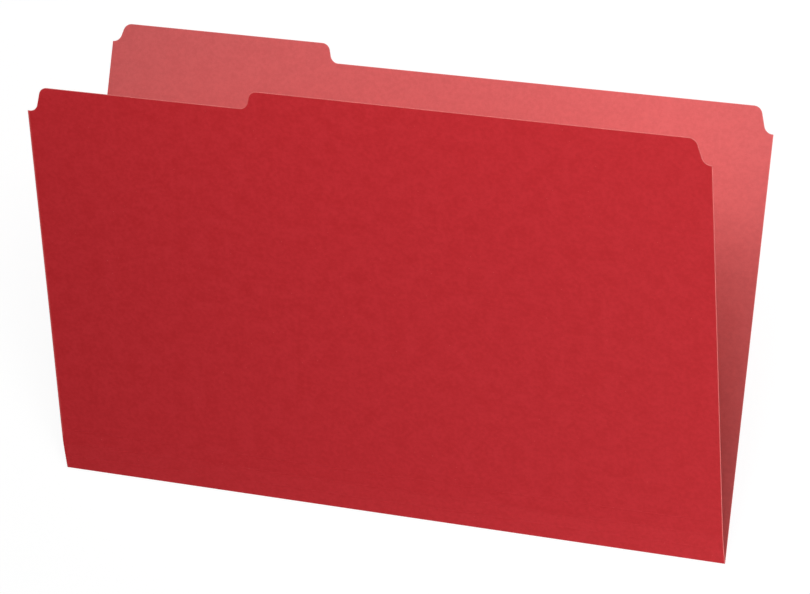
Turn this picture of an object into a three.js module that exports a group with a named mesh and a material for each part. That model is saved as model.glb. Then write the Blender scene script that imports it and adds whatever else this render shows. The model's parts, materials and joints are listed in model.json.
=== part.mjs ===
// A legal-size file folder of coloured card, lying on its back cover with the front cover ajar.
// One die-cut sheet is creased into a back cover with a third-cut tab, three narrow expansion
// strips and a front cover. Every crease is a paper hinge that runs along X.
// Millimetres. +X along the fold, +Y from the fold to the tab, +Z up from the desk.
// The origin is the middle of the folder's footprint, on the desk.

import * as THREE from 'three';

// Sheet sizes. Heights are measured on the card, from the main fold.
const FOLDER_WIDTH = 374.65; // 14-3/4 in, for paper 14 in long
const OVERALL_HEIGHT = 241.3; // 9-1/2 in, from the fold to the top of the tab
const FRONT_HEIGHT = 232.6; // the front cover at its full height
const TAB_RISE = 10; // the tab above the back cover, and the front cover's cut-down below its top
const TAB_END = 127.7; // from the left edge to the middle of the tab's right shoulder
const CORNER_DROP = 13.6; // each cut corner below the edge beside it
const RIGHT_LAND = 0.5; // the straight bit between a right-hand cut corner and the side edge
const FRONT_LEFT_LAND = 1.2; // the same bit at the front cover's left corner
const TAB_LEFT_LAND = 0.1; // and at the tab's left end
const CARD_THICKNESS = 0.28; // 11-point card

// The shoulder that the die cuts at the tab and the corners: two arcs joined by a steep slant.
const SHOULDER_RADIUS = 4.9;
const SHOULDER_SLOPE = THREE.MathUtils.degToRad(74);
const ARC_STEPS = 10;

// Creases. The card on each side of a crease stops short of its hinge line.
const SCORE_SPACING = 7.9375; // 5/16 in between neighbouring creases
const SCORE_COUNT = 3;
const CREASE_GAP = 0.15; // from a hinge line to the card on each side
const FOLD_CLEARANCE = 0.15; // from the main fold's hinge line to each inner face, when closed

// How far each crease is turned as the folder lies: the covers' angle, and each score's own bend.
const COVER_ANGLE = THREE.MathUtils.degToRad(24.6);
const SCORE_BENDS = [1.0, 4.7, 1.0].map(THREE.MathUtils.degToRad);

// Places worked out from the sizes
const LEFT_EDGE = -FOLDER_WIDTH / 2;
const RIGHT_EDGE = FOLDER_WIDTH / 2;
const BACK_HEIGHT = OVERALL_HEIGHT - TAB_RISE;
const FRONT_LOW_HEIGHT = FRONT_HEIGHT - TAB_RISE;
const HINGE_HEIGHT = CARD_THICKNESS + FOLD_CLEARANCE;
const FOLD_ANGLE = SCORE_BENDS.reduce((sum, bend) => sum + bend, COVER_ANGLE);

const red = new THREE.Color().setRGB(0.71, 0.17, 0.19, THREE.SRGBColorSpace);
const paleRed = new THREE.Color().setRGB(0.84, 0.38, 0.38, THREE.SRGBColorSpace);
const outsideCard = new THREE.MeshStandardMaterial({ color: red, roughness: 0.75, metalness: 0 });
const insideCard = new THREE.MeshStandardMaterial({ color: paleRed, roughness: 0.8, metalness: 0 });

// Both arcs shrink together where a shoulder is too low for the full radius.
function shoulderRadius(rise) {
  return Math.min(SHOULDER_RADIUS, rise / (2 * (1 - Math.cos(SHOULDER_SLOPE))));
}

// The length along the edge that a shoulder of this rise takes up.
function shoulderRun(rise) {
  const radius = shoulderRadius(rise);
  const slantRise = rise - 2 * radius * (1 - Math.cos(SHOULDER_SLOPE));
  return 2 * radius * Math.sin(SHOULDER_SLOPE) + slantRise / Math.tan(SHOULDER_SLOPE);
}

// Points of a shoulder that leaves (x, y) towards -X and ends level at yEnd.
function shoulder(x, y, yEnd) {
  const rise = Math.abs(yEnd - y);
  const upOrDown = Math.sign(yEnd - y);
  const radius = shoulderRadius(rise);
  const run = shoulderRun(rise);
  const turns = Array.from({ length: ARC_STEPS + 1 }, (_, i) => (SHOULDER_SLOPE * i) / ARC_STEPS);
  const arc = turns.map((turn) => [radius * Math.sin(turn), radius * (1 - Math.cos(turn))]);
  const farArc = arc.map(([along, climb]) => [run - along, rise - climb]).reverse();
  return [...arc, ...farArc].map(
    ([along, climb]) => new THREE.Vector2(x - along, y + upOrDown * climb),
  );
}

// The cut corner at the right end of an edge, going left and up to that edge.
function rightCorner(edgeHeight) {
  const cornerHeight = edgeHeight - CORNER_DROP;
  return [
    new THREE.Vector2(RIGHT_EDGE, cornerHeight),
    ...shoulder(RIGHT_EDGE - RIGHT_LAND, cornerHeight, edgeHeight),
  ];
}

// The shoulder at the left end of an edge, going left and down to the side edge.
function leftCorner(edgeHeight, drop, land) {
  const start = LEFT_EDGE + land + shoulderRun(drop);
  return [
    ...shoulder(start, edgeHeight, edgeHeight - drop),
    new THREE.Vector2(LEFT_EDGE, edgeHeight - drop),
  ];
}

// The shoulder at the tab's right end, shared by both covers: going left, one climbs, one falls.
function tabShoulder(fromHeight, toHeight) {
  const middle = LEFT_EDGE + TAB_END;
  return shoulder(middle + shoulderRun(TAB_RISE) / 2, fromHeight, toHeight);
}

function bottomEdge(height) {
  return [new THREE.Vector2(LEFT_EDGE, height), new THREE.Vector2(RIGHT_EDGE, height)];
}

function cardFrom(outline) {
  return new THREE.ExtrudeGeometry(new THREE.Shape(outline), {
    depth: CARD_THICKNESS,
    bevelEnabled: false,
  });
}

// The back cover lies on the desk, with the full-height tab at its left end.
function makeBackCover() {
  const outline = [
    ...bottomEdge(CREASE_GAP),
    ...rightCorner(BACK_HEIGHT),
    ...tabShoulder(BACK_HEIGHT, OVERALL_HEIGHT),
    ...leftCorner(OVERALL_HEIGHT, TAB_RISE, TAB_LEFT_LAND),
  ];
  const cover = new THREE.Mesh(cardFrom(outline), insideCard);
  cover.name = 'back_cover';
  return cover;
}

// One narrow strip of card between two creases, centred on its own thickness.
function makeStrip(number) {
  const length = SCORE_SPACING - 2 * CREASE_GAP;
  const strip = new THREE.Mesh(
    new THREE.BoxGeometry(FOLDER_WIDTH, length, CARD_THICKNESS),
    outsideCard,
  );
  strip.name = `score_strip_${number}`;
  strip.position.y = SCORE_SPACING / 2;
  return strip;
}

// The front cover above the last score, cut down beside the tab.
function makeFrontCover() {
  const belowLastScore = SCORE_COUNT * SCORE_SPACING;
  const outline = [
    ...bottomEdge(belowLastScore + CREASE_GAP),
    ...rightCorner(FRONT_HEIGHT),
    ...tabShoulder(FRONT_HEIGHT, FRONT_LOW_HEIGHT),
    ...leftCorner(FRONT_LOW_HEIGHT, CORNER_DROP, FRONT_LEFT_LAND),
  ];
  const cover = new THREE.Mesh(cardFrom(outline), outsideCard);
  cover.name = 'front_cover';
  cover.position.set(0, -belowLastScore, -CARD_THICKNESS / 2);
  return cover;
}

// A hinge line along X, turned by an angle, with everything beyond it as its children.
function makeHinge(y, z, angle) {
  const hinge = new THREE.Group();
  hinge.position.set(0, y, z);
  hinge.rotation.x = angle;
  return hinge;
}

const folder = new THREE.Group();
folder.add(makeBackCover());

const mainFold = makeHinge(0, HINGE_HEIGHT, FOLD_ANGLE);
folder.add(mainFold);

// The front side's sheet, lifted off the main fold's hinge line by its clearance.
let side = makeHinge(0, FOLD_CLEARANCE + CARD_THICKNESS / 2, 0);
mainFold.add(side);

for (let number = 1; number <= SCORE_COUNT; number++) {
  side.add(makeStrip(number));
  const score = makeHinge(SCORE_SPACING, 0, -SCORE_BENDS[number - 1]);
  side.add(score);
  side = score;
}
side.add(makeFrontCover());

// Stand the origin under the middle of the whole folder.
folder.updateMatrixWorld(true);
const extent = new THREE.Box3().setFromObject(folder, true);
const middle = extent.getCenter(new THREE.Vector3());
folder.position.set(-middle.x, -middle.y, -extent.min.z);

export default folder;
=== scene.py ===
import json
import math

import bpy
import numpy as np
from mathutils import Matrix, Vector


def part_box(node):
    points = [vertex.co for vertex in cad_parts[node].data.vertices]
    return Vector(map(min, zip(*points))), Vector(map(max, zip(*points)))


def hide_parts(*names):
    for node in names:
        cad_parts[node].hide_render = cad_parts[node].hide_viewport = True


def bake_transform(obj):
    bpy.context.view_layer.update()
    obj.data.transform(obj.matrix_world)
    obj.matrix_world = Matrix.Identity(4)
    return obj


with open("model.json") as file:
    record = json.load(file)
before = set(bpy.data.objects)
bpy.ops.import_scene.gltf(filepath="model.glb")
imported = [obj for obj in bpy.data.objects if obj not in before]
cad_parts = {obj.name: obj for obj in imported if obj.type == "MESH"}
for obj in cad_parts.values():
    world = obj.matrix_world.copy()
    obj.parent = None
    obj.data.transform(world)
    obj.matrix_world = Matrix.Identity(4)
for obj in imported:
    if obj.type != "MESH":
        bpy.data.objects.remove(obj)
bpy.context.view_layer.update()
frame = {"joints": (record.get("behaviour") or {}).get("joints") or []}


# The back cover.
# The half of the die-cut sheet of red card that lies on the desk, with the tab at its left end. It
# takes the main fold with it, up to the middle of the first narrow strip on the front side.
MM = 0.001
joints = {joint["name"]: joint for joint in frame["joints"]}
fold_place = Vector(joints["main_fold"]["pos_m"])
fold_closed, fold_flat = (math.radians(turn) for turn in joints["main_fold"]["range_deg"])
FOLD_ANGLE = math.pi - fold_flat
COVER_ANGLE = -fold_closed

back_low, back_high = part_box("back_cover")
WIDTH = back_high.x - back_low.x
THICKNESS = back_high.z - back_low.z
OVERALL_HEIGHT = back_high.y - fold_place.y
TAB_RISE = 10 * MM
BACK_HEIGHT = OVERALL_HEIGHT - TAB_RISE
TAB_END = 127.7 * MM
CORNER_DROP = 13.6 * MM
RIGHT_LAND = 0.5 * MM
FRONT_LEFT_LAND = 1.2 * MM
TAB_LEFT_LAND = 0.1 * MM
SHOULDER_RADIUS = 4.9 * MM
SHOULDER_SLOPE = math.radians(74)
SHOULDER_STEPS = 10

# The card's middle line turns round the fold's hinge line on this radius.
FOLD_RADIUS = fold_place.z - THICKNESS / 2
FOLD_TURN = math.pi - FOLD_ANGLE
FOLD_REACH = FOLD_RADIUS * FOLD_TURN / 2
FOLD_STEPS = 12

# The sheet's ends draw in by a hair over the fold, and come out again on the first strip.
FOLD_DRAW_IN = 0.03 * MM
DRAW_OUT_REACH = 2 * MM

# The three scores: how far from the fold's hinge line, how far each is bent, and how it is pressed.
score_places = [Vector(joints[f"score_{number}"]["pos_m"]) for number in (1, 2, 3)]
SCORE_SPACING = (score_places[1] - score_places[0]).length
SCORE_BENDS = [math.radians(joints[f"score_{number}"]["range_deg"][1]) for number in (1, 2, 3)]
SCORE_HEIGHTS = [SCORE_SPACING * number for number in (1, 2, 3)]
SCORE_HALF_WIDTH = 0.45 * MM
SCORE_DEPTH = 0.07 * MM
SCORE_SPREAD = 0.7 * SCORE_HALF_WIDTH

# How the card's free part lies: a slow wave, none of it at the creases, none below the desk.
# Swells are counted over the width and shifted by a share of it. On the front cover they slant,
# by one radian for each FRONT_SLANT of height.
WAVE_HEIGHT = 0.35 * MM
WAVE_START = 25 * MM
WAVE_FULL = 110 * MM
BACK_SWELLS = 1.5
BACK_SHIFT = 0.15
FRONT_SWELLS = 1.2
FRONT_SHIFT = 0.1
FRONT_SLANT = 90 * MM

# The knife leaves a narrow bevel round the sheet and a worn line beside it, partly a painted
# highlight.
CUT_BEVEL = 0.05 * MM
RIM_WIDTH = 0.45 * MM
SHARP_TURN = math.radians(40)

# How closely the card is divided, so that it can follow the wave and the cut edge.
COLUMN_STEP = 5 * MM
ROW_STEP = 5 * MM
LAST_FULL_ROW = 190 * MM
ROWS_TO_EDGE = 7


def smooth(low, high, value):
    part = min(max((value - low) / (high - low), 0), 1)
    return part * part * (3 - 2 * part)


def front_line(height):
    """Place (y, z) of the card's middle and its angle from the back cover, up the front side."""
    angle = FOLD_ANGLE
    place = Vector((fold_place.y, fold_place.z))
    place += FOLD_RADIUS * Vector((-math.sin(angle), math.cos(angle)))
    reached = 0
    for score_height, bend in zip(SCORE_HEIGHTS, SCORE_BENDS):
        for end, turn_per_length in (
            (score_height - SCORE_HALF_WIDTH, 0),
            (score_height + SCORE_HALF_WIDTH, bend / (2 * SCORE_HALF_WIDTH)),
        ):
            length = min(height, end) - reached
            middle_angle = angle - turn_per_length * length / 2
            place += length * Vector((math.cos(middle_angle), math.sin(middle_angle)))
            angle -= turn_per_length * length
            reached += length
            if height <= end:
                return place, angle
    place += (height - reached) * Vector((math.cos(angle), math.sin(angle)))
    return place, angle


def sheet_line(along):
    """Middle of the card (y, z) and its outward normal, at a distance along the sheet from the
    crest of the main fold: negative on the back cover, positive on the front side."""
    if along <= -FOLD_REACH:
        return Vector((fold_place.y - along - FOLD_REACH, THICKNESS / 2)), Vector((0, -1))
    if along >= FOLD_REACH:
        place, angle = front_line(along - FOLD_REACH)
        return place, Vector((-math.sin(angle), math.cos(angle)))
    turned = (along + FOLD_REACH) / (2 * FOLD_REACH) * FOLD_TURN
    normal = Vector((-math.sin(turned), -math.cos(turned)))
    return Vector((fold_place.y, fold_place.z)) + FOLD_RADIUS * normal, normal


def pressed(along):
    """How far the scores push the card inwards."""
    height = along - FOLD_REACH
    nearest = min(abs(height - score_height) for score_height in SCORE_HEIGHTS)
    return SCORE_DEPTH * math.exp(-((nearest / SCORE_SPREAD) ** 2))


def wave(x, along):
    """How far a cover's free part stands off its plane, towards the inside of the folder."""
    height = abs(along) - FOLD_REACH
    if along < 0:
        swell = 0.5 - 0.5 * math.cos(math.tau * (x / WIDTH + BACK_SHIFT) * BACK_SWELLS)
    else:
        turn = math.tau * (x / WIDTH - FRONT_SHIFT) * FRONT_SWELLS + height / FRONT_SLANT
        swell = 0.5 + 0.5 * math.sin(turn)
    return WAVE_HEIGHT * swell * smooth(WAVE_START, WAVE_FULL, height)


def width_kept(along):
    """The share of its width that the sheet keeps. It is less on one side of the fold's crest than
    on the other, so that its cut ends don't share one plane when the fold is opened flat."""
    drawn = smooth(-FOLD_REACH, FOLD_REACH, along)
    let_out = smooth(FOLD_REACH, FOLD_REACH + DRAW_OUT_REACH, along)
    return 1 - 2 * FOLD_DRAW_IN / WIDTH * drawn * (1 - let_out)


def card_point(x, along, outward):
    """A point of the card in the row frame, so far outward of its middle."""
    place, normal = sheet_line(along)
    place = place + (outward - pressed(along) - wave(x, along)) * normal
    return x * width_kept(along), place.x, place.y


def shoulder_radius(rise):
    return min(SHOULDER_RADIUS, rise / (2 * (1 - math.cos(SHOULDER_SLOPE))))


def shoulder_run(rise):
    radius = shoulder_radius(rise)
    slant_rise = rise - 2 * radius * (1 - math.cos(SHOULDER_SLOPE))
    return 2 * radius * math.sin(SHOULDER_SLOPE) + slant_rise / math.tan(SHOULDER_SLOPE)


def shoulder(x, height, end_height):
    """Points from the level at (x, height), to the right, to the level at end_height."""
    rise = abs(end_height - height)
    upward = math.copysign(1, end_height - height)
    radius, run = shoulder_radius(rise), shoulder_run(rise)
    turns = [SHOULDER_SLOPE * step / SHOULDER_STEPS for step in range(SHOULDER_STEPS + 1)]
    arc = [(radius * math.sin(turn), radius * (1 - math.cos(turn))) for turn in turns]
    far_arc = [(run - across, rise - up) for across, up in reversed(arc)]
    middle = [tuple((a + b) / 2 for a, b in zip(arc[-1], far_arc[0]))]
    return [(x + across, height + upward * up) for across, up in arc + middle + far_arc]


def filled(points):
    """The same edge with more points where it runs level for long."""
    dense = [points[0]]
    for before, after in zip(points, points[1:]):
        steps = max(1, math.ceil((after[0] - before[0]) / COLUMN_STEP))
        for step in range(1, steps + 1):
            part = step / steps
            dense.append(tuple(a + (b - a) * part for a, b in zip(before, after)))
    return dense


def top_edge(left_height, left_drop, left_land, right_height):
    """A cover's cut edge from its left side to its right: corner, tab shoulder, corner."""
    left, right = -WIDTH / 2, WIDTH / 2
    tab_shoulder = left + TAB_END - shoulder_run(TAB_RISE) / 2
    right_start = right - RIGHT_LAND - shoulder_run(CORNER_DROP)
    return filled(
        [(left, left_height - left_drop)]
        + shoulder(left + left_land, left_height - left_drop, left_height)
        + shoulder(tab_shoulder, left_height, right_height)
        + shoulder(right_start, right_height, right_height - CORNER_DROP)
        + [(right, right_height - CORNER_DROP)]
    )


def edge_normals(edge):
    """The way out of the sheet at each point of a cut edge that runs from left to right."""
    normals = []
    for number in range(len(edge)):
        before, after = edge[max(number - 1, 0)], edge[min(number + 1, len(edge) - 1)]
        run = Vector((after[0] - before[0], after[1] - before[1])).normalized()
        normals.append(Vector((-run.y, run.x)))
    return normals


def cover_rows(edge, base_rows, side):
    """Rows of sheet places (x, along) from a cover's base rows up to its cut edge.
    side is -1 for the back cover and 1 for the front."""
    normals = edge_normals(edge)
    rows = [[(x, row) for x, _ in edge] for row in base_rows]
    first = abs(base_rows[-1]) - FOLD_REACH
    steps = math.ceil((LAST_FULL_ROW - first) / ROW_STEP)
    for step in range(1, steps + 1):
        height = first + (LAST_FULL_ROW - first) * step / steps
        rows.append([(x, side * (FOLD_REACH + height)) for x, _ in edge])
    rim = []
    for number, ((x, height), normal) in enumerate(zip(edge, normals)):
        if number in (0, len(edge) - 1):
            normal = Vector((0, 1))
        rim.append((x - normal.x * RIM_WIDTH, height - normal.y * RIM_WIDTH))
    for step in range(1, ROWS_TO_EDGE + 1):
        part = step / ROWS_TO_EDGE
        row = []
        for (x, _), (rim_x, rim_height) in zip(edge, rim):
            height = LAST_FULL_ROW + (rim_height - LAST_FULL_ROW) * part
            row.append((x + (rim_x - x) * part, side * (FOLD_REACH + height)))
        rows.append(row)
    rows.append([(x, side * (FOLD_REACH + height)) for x, height in edge])
    return rows


def card_piece(name, rows, cut_normals=None, side=1):
    """A closed piece of card from rows of sheet places. Its first and last columns are cut edges,
    and so is its last row where cut_normals are given; other ends butt against the next piece."""
    row_count, column_count = len(rows), len(rows[0])
    verts, sheet, rim = [], [], []

    def way_out(row, column):
        across = {0: -1, column_count - 1: 1}.get(column, 0)
        if cut_normals is None or row < row_count - 1:
            return Vector((across, 0))
        normal = cut_normals[column] if not across else Vector((across, 1))
        return Vector((normal.x, side * normal.y))

    def add(place, outward, worn_and_highlight):
        verts.append(card_point(place[0], place[1], outward))
        sheet.append(place)
        rim.append(worn_and_highlight)
        return len(verts) - 1

    def face_grid(outward):
        grid = []
        for row in range(row_count):
            line = []
            for column in range(column_count):
                out = way_out(row, column)
                place = (Vector(rows[row][column]) - CUT_BEVEL * out)[:]
                line.append(add(place, outward, 1.0 if out.length else 0.0))
            grid.append(line)
        return grid

    outer = face_grid(THICKNESS / 2)
    inner = face_grid(-THICKNESS / 2)
    faces, finishes = [], []

    def add_face(corners, finish):
        faces.append(corners)
        finishes.append(finish)

    flip = side < 0
    for row in range(row_count - 1):
        for column in range(column_count - 1):
            for grid, finish, turned in ((outer, 0, flip), (inner, 1, not flip)):
                corners = [grid[row][column], grid[row][column + 1],
                           grid[row + 1][column + 1], grid[row + 1][column]]
                add_face(corners[::-1] if turned else corners, finish)

    loop = [(0, column) for column in range(column_count)]
    loop += [(row, column_count - 1) for row in range(1, row_count)]
    loop += [(row_count - 1, column) for column in range(column_count - 2, -1, -1)]
    loop += [(row, 0) for row in range(row_count - 2, 0, -1)]
    rings = [[outer[row][column] for row, column in loop]]
    for outward in (THICKNESS / 2 - CUT_BEVEL, CUT_BEVEL - THICKNESS / 2):
        rings.append([add(rows[row][column], outward, 1.0) for row, column in loop])
    rings.append([inner[row][column] for row, column in loop])
    for ring, next_ring in zip(rings, rings[1:]):
        for number in range(len(loop)):
            after = (number + 1) % len(loop)
            corners = [ring[number], next_ring[number], next_ring[after], ring[after]]
            add_face(corners[::-1] if flip else corners, 2)

    mesh = bpy.data.meshes.new(name)
    mesh.from_pydata(verts, [], faces)
    mesh.polygons.foreach_set("material_index", finishes)
    mesh.polygons.foreach_set("use_smooth", [True] * len(faces))
    mesh.set_sharp_from_angle(angle=SHARP_TURN)
    layer = mesh.uv_layers.new(name="sheet")
    corner_points = np.zeros(len(mesh.loops), dtype=np.int32)
    mesh.loops.foreach_get("vertex_index", corner_points)
    layer.uv.foreach_set("vector", np.array(sheet, dtype=np.float32)[corner_points].ravel())
    # The rim marks the worn line by the cut edges, painted paler, partly as a painted highlight.
    mesh.attributes.new("rim", "FLOAT", "POINT").data.foreach_set("value", rim)
    piece = bpy.data.objects.new(name, mesh)
    bpy.context.scene.collection.objects.link(piece)
    return piece


class Amount:
    """A number that varies over the card. Arithmetic on it adds Math nodes to its finish."""

    def __init__(self, finish, socket):
        self.finish = finish
        self.socket = socket

    def joined(self, operation, other):
        node = self.finish.node("ShaderNodeMath", {"operation": operation}, {0: self, 1: other})
        return Amount(self.finish, node.outputs[0])

    def __add__(self, other):
        return self.joined("ADD", other)

    def __mul__(self, other):
        return self.joined("MULTIPLY", other)

    __radd__ = __add__
    __rmul__ = __mul__

    def over(self, low, high):
        """0 below low, 1 above high, smooth between."""
        node = self.finish.node(
            "ShaderNodeMapRange",
            {"interpolation_type": "SMOOTHSTEP"},
            {"Value": self, "From Min": low, "From Max": high},
        )
        return Amount(self.finish, node.outputs[0])


class Nodes:
    """The node tree of a material or of the world, emptied."""

    def __init__(self, owner):
        owner.use_nodes = True
        self.tree = owner.node_tree
        self.tree.nodes.clear()

    def node(self, kind, settings=None, inputs=None):
        made = self.tree.nodes.new(kind)
        for key, value in (settings or {}).items():
            setattr(made, key, value)
        for key, value in (inputs or {}).items():
            if isinstance(value, Amount):
                value = value.socket
            if isinstance(value, bpy.types.NodeSocket):
                self.tree.links.new(value, made.inputs[key])
            else:
                made.inputs[key].default_value = value
        return made


# The Mix node has a set of sockets for each kind of data. These are the ones for colours.
MIX_FIRST = 6
MIX_SECOND = 7
MIX_RESULT = 2


class Finish(Nodes):
    """One finish of the card."""

    def __init__(self, name):
        self.material = bpy.data.materials.new(name)
        super().__init__(self.material)
        self.sheet = self.node("ShaderNodeUVMap", {"uv_map": "sheet"}).outputs["UV"]

    def attribute(self, name):
        node = self.node("ShaderNodeAttribute", {"attribute_name": name})
        return Amount(self, node.outputs["Fac"])

    def grain(self, size, detail, shift):
        """Noise whose blotches have this size in metres, across the folder and up it. The shift
        takes another stretch of the noise, so that no two grains look alike."""
        across, up = size
        scaled = self.node(
            "ShaderNodeVectorMath",
            {"operation": "MULTIPLY_ADD"},
            {0: self.sheet, 1: (1 / across, 1 / up, 0), 2: (shift, shift, shift)},
        ).outputs[0]
        noise = self.node(
            "ShaderNodeTexNoise",
            inputs={"Vector": scaled, "Scale": 1, "Detail": detail},
        )
        return Amount(self, noise.outputs["Fac"])

    def mixed(self, amount, first, second):
        """A colour that goes from first to second with the amount."""
        node = self.node(
            "ShaderNodeMix",
            {"data_type": "RGBA"},
            {"Factor": amount, MIX_FIRST: first, MIX_SECOND: second},
        )
        return node.outputs[MIX_RESULT]

    def card(self, colour, roughness, bump_height, bump_depth):
        """The card's surface, from a colour link and how rough and fibrous it is."""
        bump = self.node("ShaderNodeBump", inputs={"Distance": bump_depth, "Height": bump_height})
        shader = self.node(
            "ShaderNodeBsdfPrincipled",
            inputs={
                "Base Color": colour,
                "Roughness": roughness,
                "Normal": bump.outputs[0],
            },
        )
        self.node("ShaderNodeOutputMaterial", inputs={"Surface": shader.outputs[0]})
        return self.material


def linear(red, green, blue):
    """A screen colour, 0 to 255, as the linear colour that a shader takes."""
    return tuple(
        (part / 255 / 12.92) if part <= 10 else ((part / 255 + 0.055) / 1.055) ** 2.4
        for part in (red, green, blue)
    ) + (1.0,)


OUTSIDE_RED = (186, 15, 26)
OUTSIDE_LIGHT = (196, 27, 38)
INSIDE_RED = (217, 93, 93)
INSIDE_LIGHT = (225, 101, 101)
# These two rim and cut-edge colours are partly the card's worn, paler core and partly a painted
# highlight of the lit cut edge.
WORN_EDGE_AND_HIGHLIGHT = (226, 114, 110)
CARD_CORE_AND_HIGHLIGHT = (238, 142, 138)
FLECK = (214, 96, 96)

# The card's grain, from the cloudy pulp down to single fibres: its size across the folder and up
# it, and its share in the dye's unevenness.
CLOUDS = (9 * MM, 7 * MM)
CLOUD_SHARE = 0.25
PULP = (2.4 * MM, 2.1 * MM)
PULP_SHARE = 0.35
FIBRES = (0.45 * MM, 1.8 * MM)
CROSS_FIBRES = (1.8 * MM, 0.4 * MM)
FIBRE_SHARE = 0.2
FLECKS = (1.1 * MM, 0.8 * MM)
EDGE_LAYERS = (0.3 * MM, 0.3 * MM)

# The stretch of each grain over which one colour turns into the other.
DYE_TURN = (0.38, 0.62)
FLECK_TURN = (0.86, 0.9)
CORE_TURN = (0.35, 0.65)

# How strongly a fleck shows. Then the share of the rim that is painted paler, partly rubbed dye and
# partly a painted highlight of the lit cut edge: the least of it, and what a fibre adds.
FLECK_STRENGTH = 0.5
LEAST_RUBBED_AND_HIGHLIGHT = 0.35
RUBBED_FIBRES_AND_HIGHLIGHT = 0.6

# The card is matte, most of all where it is cut. Its clouds and fibres vary that a little.
FACE_ROUGHNESS = 0.62
CLOUD_ROUGHNESS = 0.1
FIBRE_ROUGHNESS = 0.08
CUT_ROUGHNESS = 0.8
LAYER_ROUGHNESS = 0.1
FIBRE_HEIGHT = 0.02 * MM
LAYER_HEIGHT = 0.03 * MM


def faced_card(name, deep, light, worn_and_highlight):
    """A dyed face of the card: cloudy pulp, short fibres, a rare pale fleck and a paler cut rim,
    partly worn and partly a painted highlight of the lit edge.
    """
    face = Finish(name)
    clouds = face.grain(CLOUDS, detail=2, shift=0)
    pulp = face.grain(PULP, detail=2, shift=14)
    fibres = face.grain(FIBRES, detail=2, shift=3)
    cross_fibres = face.grain(CROSS_FIBRES, detail=2, shift=9)
    tint = clouds * CLOUD_SHARE + pulp * PULP_SHARE
    tint = tint + fibres * FIBRE_SHARE + cross_fibres * FIBRE_SHARE
    dyed = face.mixed(tint.over(*DYE_TURN), linear(*deep), linear(*light))
    flecks = face.grain(FLECKS, detail=0, shift=21).over(*FLECK_TURN)
    flecked = face.mixed(flecks * FLECK_STRENGTH, dyed, linear(*FLECK))
    # The rim is painted paler: partly rubbed dye, partly a painted highlight of the lit cut edge.
    rim = face.attribute("rim").over(0.0, 1.0)
    rubbed_and_highlight = rim * (fibres * RUBBED_FIBRES_AND_HIGHLIGHT + LEAST_RUBBED_AND_HIGHLIGHT)
    colour = face.mixed(rubbed_and_highlight, flecked, linear(*worn_and_highlight))
    roughness = clouds * CLOUD_ROUGHNESS + fibres * FIBRE_ROUGHNESS + FACE_ROUGHNESS
    relief = fibres * 0.5 + cross_fibres * 0.5
    return face.card(colour, roughness, relief, FIBRE_HEIGHT)


def cut_card():
    """The cut edge, where the paler core of the card shows its layers, its colours paler still as a
    painted highlight.
    """
    edge = Finish("cut_edge")
    layers = edge.grain(EDGE_LAYERS, detail=3, shift=5)
    colour = edge.mixed(layers.over(*CORE_TURN), linear(*WORN_EDGE_AND_HIGHLIGHT), linear(*CARD_CORE_AND_HIGHLIGHT))
    roughness = layers * LAYER_ROUGHNESS + CUT_ROUGHNESS
    return edge.card(colour, roughness, layers, LAYER_HEIGHT)


card_finishes = [
    faced_card("outside_face", OUTSIDE_RED, OUTSIDE_LIGHT, WORN_EDGE_AND_HIGHLIGHT),
    faced_card("inside_face", INSIDE_RED, INSIDE_LIGHT, CARD_CORE_AND_HIGHLIGHT),
    cut_card(),
]


def finish_card(piece):
    for finish in card_finishes:
        piece.data.materials.append(finish)


def frame_point(along):
    """The card's middle at a distance along the sheet, in the row frame."""
    return card_point(0, along, 0)


# Rows of points close to each side of the fold keep the covers flat up to it.
NEAR_ROW = 0.8 * MM
FAR_ROW = 2.5 * MM
fold_rows = [FOLD_REACH * (1 - 2 * step / FOLD_STEPS) for step in range(FOLD_STEPS + 1)]
first_seam = FOLD_REACH + SCORE_SPACING / 2
back_base = [first_seam, FOLD_REACH + DRAW_OUT_REACH, FOLD_REACH + NEAR_ROW] + fold_rows
back_base += [-FOLD_REACH - NEAR_ROW, -FOLD_REACH - FAR_ROW]
back_edge = top_edge(OVERALL_HEIGHT, TAB_RISE, TAB_LEFT_LAND, BACK_HEIGHT)
back_rows = cover_rows(back_edge, back_base, side=-1)
back_card = card_piece("back_card", back_rows, edge_normals(back_edge), side=-1)
finish_card(back_card)
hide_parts("back_cover")
frame_point(-FOLD_REACH)
frame_point(FOLD_REACH)
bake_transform(back_card)


# The lower and middle scores.
# Two lines pressed into the same card above the fold, so that it can be squared off for a thicker
# stack. Each piece runs from the middle of one strip to the middle of the next.

# Close rows of points reach past a pressed line, to so many times its half width.
SCORE_STEPS = 16
SCORE_MARGIN = 2.2


def score_rows(score_height, from_height, to_height):
    """Rows of a piece that holds one score, close together where the card is pressed."""
    reach = SCORE_MARGIN * SCORE_HALF_WIDTH
    heights = [from_height]
    for step in range(SCORE_STEPS + 1):
        heights.append(score_height + reach * (2 * step / SCORE_STEPS - 1))
    heights.append(to_height)
    return [FOLD_REACH + height for height in heights]


strip_ends = [-WIDTH / 2, RIM_WIDTH - WIDTH / 2, WIDTH / 2 - RIM_WIDTH, WIDTH / 2]
strip_columns = [x for x, _ in filled([(end, 0) for end in strip_ends])]

for number, lower_body, upper_body, node in (
    (1, "lower_strip", "middle_strip", "score_strip_1"),
    (2, "middle_strip", "upper_strip", "score_strip_2"),
):
    height = SCORE_HEIGHTS[number - 1]
    alongs = score_rows(height, height - SCORE_SPACING / 2, height + SCORE_SPACING / 2)
    rows = [[(x, along) for x in strip_columns] for along in alongs]
    score_card = card_piece(f"score_card_{number}", rows)
    finish_card(score_card)
    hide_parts(node)
    frame_point(FOLD_REACH + height - SCORE_HALF_WIDTH)
    frame_point(FOLD_REACH + height + SCORE_HALF_WIDTH)
    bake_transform(score_card)


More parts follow.
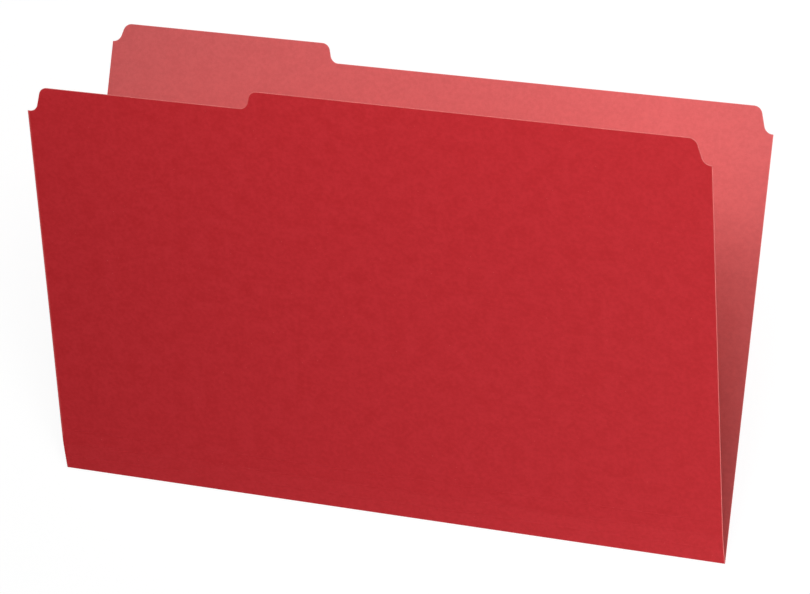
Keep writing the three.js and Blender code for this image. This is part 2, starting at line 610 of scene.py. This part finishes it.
# The front cover.
# The half of the same sheet that the reader sees, die-cut lower beside the tab. It runs from the
# middle of the third strip, over the upper score, to its cut top edge.
FRONT_HEIGHT = 232.6 * MM
upper_score = SCORE_HEIGHTS[2]
strip_middle = upper_score - SCORE_SPACING / 2
front_base = score_rows(upper_score, strip_middle, upper_score + SCORE_SPACING / 2)
front_edge = top_edge(FRONT_HEIGHT - TAB_RISE, CORNER_DROP, FRONT_LEFT_LAND, FRONT_HEIGHT)
front_rows = cover_rows(front_edge, front_base, side=1)
front_card = card_piece("front_card", front_rows, edge_normals(front_edge))
finish_card(front_card)
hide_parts("front_cover", "score_strip_3")
frame_point(FOLD_REACH + upper_score - SCORE_HALF_WIDTH)
frame_point(FOLD_REACH + upper_score + SCORE_HALF_WIDTH)
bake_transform(front_card)


# The desk.
# A plain white top, lit as the folder is, that keeps the folder's soft shadow. Away from the
# folder it turns as white as the room, so that no horizon shows.
DESK_SIZE = 12.0
DESK_DROP = 0.02 * MM
DESK_PAINT = (0.9, 0.9, 0.9, 1)
PLAIN_WHITE = (1, 1, 1, 1)
# The share of plain glow in what the camera sees near the folder, and how strong the glow is.
NEAR_WHITE = 0.85
GLOW = 1.08
# The glow's share grows from here to there, in metres from the middle of the folder.
SHADOW_REACH = 0.4
ALL_WHITE_REACH = 0.9
desk_mesh = bpy.data.meshes.new("desk")
half = DESK_SIZE / 2
desk_corners = [(-half, -half), (half, -half), (half, half), (-half, half)]
desk_mesh.from_pydata([(x, y, -DESK_DROP) for x, y in desk_corners], [], [(0, 1, 2, 3)])
desk = bpy.data.objects.new("desk", desk_mesh)
bpy.context.scene.collection.objects.link(desk)
desk_material = bpy.data.materials.new("desk_white")
desk_finish = Nodes(desk_material)
lit = desk_finish.node("ShaderNodeBsdfDiffuse", inputs={"Color": DESK_PAINT})
glow = desk_finish.node("ShaderNodeEmission", inputs={"Color": PLAIN_WHITE, "Strength": GLOW})
seen = Amount(desk_finish, desk_finish.node("ShaderNodeLightPath").outputs["Is Camera Ray"])
desk_place = desk_finish.node("ShaderNodeNewGeometry").outputs["Position"]
away = desk_finish.node("ShaderNodeVectorMath", {"operation": "LENGTH"}, {0: desk_place})
far = Amount(desk_finish, away.outputs["Value"]).over(SHADOW_REACH, ALL_WHITE_REACH)
desk_mix = desk_finish.node(
    "ShaderNodeMixShader",
    inputs={
        0: seen * (far * (1 - NEAR_WHITE) + NEAR_WHITE),
        1: lit.outputs[0],
        2: glow.outputs[0],
    },
)
desk_finish.node("ShaderNodeOutputMaterial", inputs={"Surface": desk_mix.outputs[0]})
desk_mesh.materials.append(desk_material)


# The light and the camera.
# Both are set round the folder as the photograph shows it, standing on its fold with its covers
# open alike to each side, and then laid down with it.
stand_up = math.pi / 2 - COVER_ANGLE / 2
lay_down = Matrix.Translation((0, fold_place.y, 0)) @ Matrix.Rotation(-stand_up, 4, "X")


def around(aim, azimuth, elevation, distance, roll=0.0):
    """A place round the standing folder that looks at the aim, laid down with it."""
    turn = (
        Matrix.Rotation(math.radians(azimuth), 4, "Z")
        @ Matrix.Rotation(math.radians(90 - elevation), 4, "X")
        @ Matrix.Rotation(math.radians(roll), 4, "Z")
    )
    return lay_down @ Matrix.Translation(aim) @ turn @ Matrix.Translation((0, 0, distance))


# Round soft lamps that look at the middle of the cover. Distances and sizes are in metres.
LAMP_AIM = (0, 0, 0.12)
for name, azimuth, elevation, distance, size, power in (
    ("key_lamp", 18, 50, 0.7, 0.45, 3.25),
    ("side_lamp", 75, -45, 1.3, 0.8, 28),
    ("fill_lamp", -20, 30, 1.5, 0.9, 4.15),
):
    lamp = bpy.data.lights.new(name, "AREA")
    lamp.shape = "DISK"
    lamp.size = size
    lamp.energy = power
    holder = bpy.data.objects.new(name, lamp)
    bpy.context.scene.collection.objects.link(holder)
    holder.matrix_world = around(LAMP_AIM, azimuth, elevation, distance)
    holder.visible_camera = False

# The room's walls look white, but light the folder only this much.
ROOM_LIGHT = 0.075
studio = bpy.data.worlds.new("studio")
bpy.context.scene.world = studio
room = Nodes(studio)
seen = Amount(room, room.node("ShaderNodeLightPath").outputs["Is Camera Ray"])
room_light = room.node(
    "ShaderNodeBackground",
    inputs={"Color": PLAIN_WHITE, "Strength": seen * (1 - ROOM_LIGHT) + ROOM_LIGHT},
)
room.node("ShaderNodeOutputWorld", inputs={"Surface": room_light.outputs[0]})

# The camera stands where the one that took the photograph stood.
CAMERA_AIM = (7.9 * MM, 0, 117.2 * MM)
CAMERA_AZIMUTH = 22.81
CAMERA_ELEVATION = 13.41
CAMERA_ROLL = 1.52
CAMERA_DISTANCE = 2.0244
SENSOR_WIDTH = 36
FOCAL_LENGTH = 174.43
NEAREST_SEEN = 0.05
camera_data = bpy.data.cameras.new("camera")
camera_data.sensor_width = SENSOR_WIDTH
camera_data.lens = FOCAL_LENGTH
camera_data.clip_start = NEAREST_SEEN
camera = bpy.data.objects.new("camera", camera_data)
bpy.context.scene.collection.objects.link(camera)
camera.matrix_world = around(
    CAMERA_AIM, CAMERA_AZIMUTH, CAMERA_ELEVATION, CAMERA_DISTANCE, CAMERA_ROLL
)
bpy.context.scene.camera = camera
bpy.context.scene.view_settings.view_transform = "Standard"
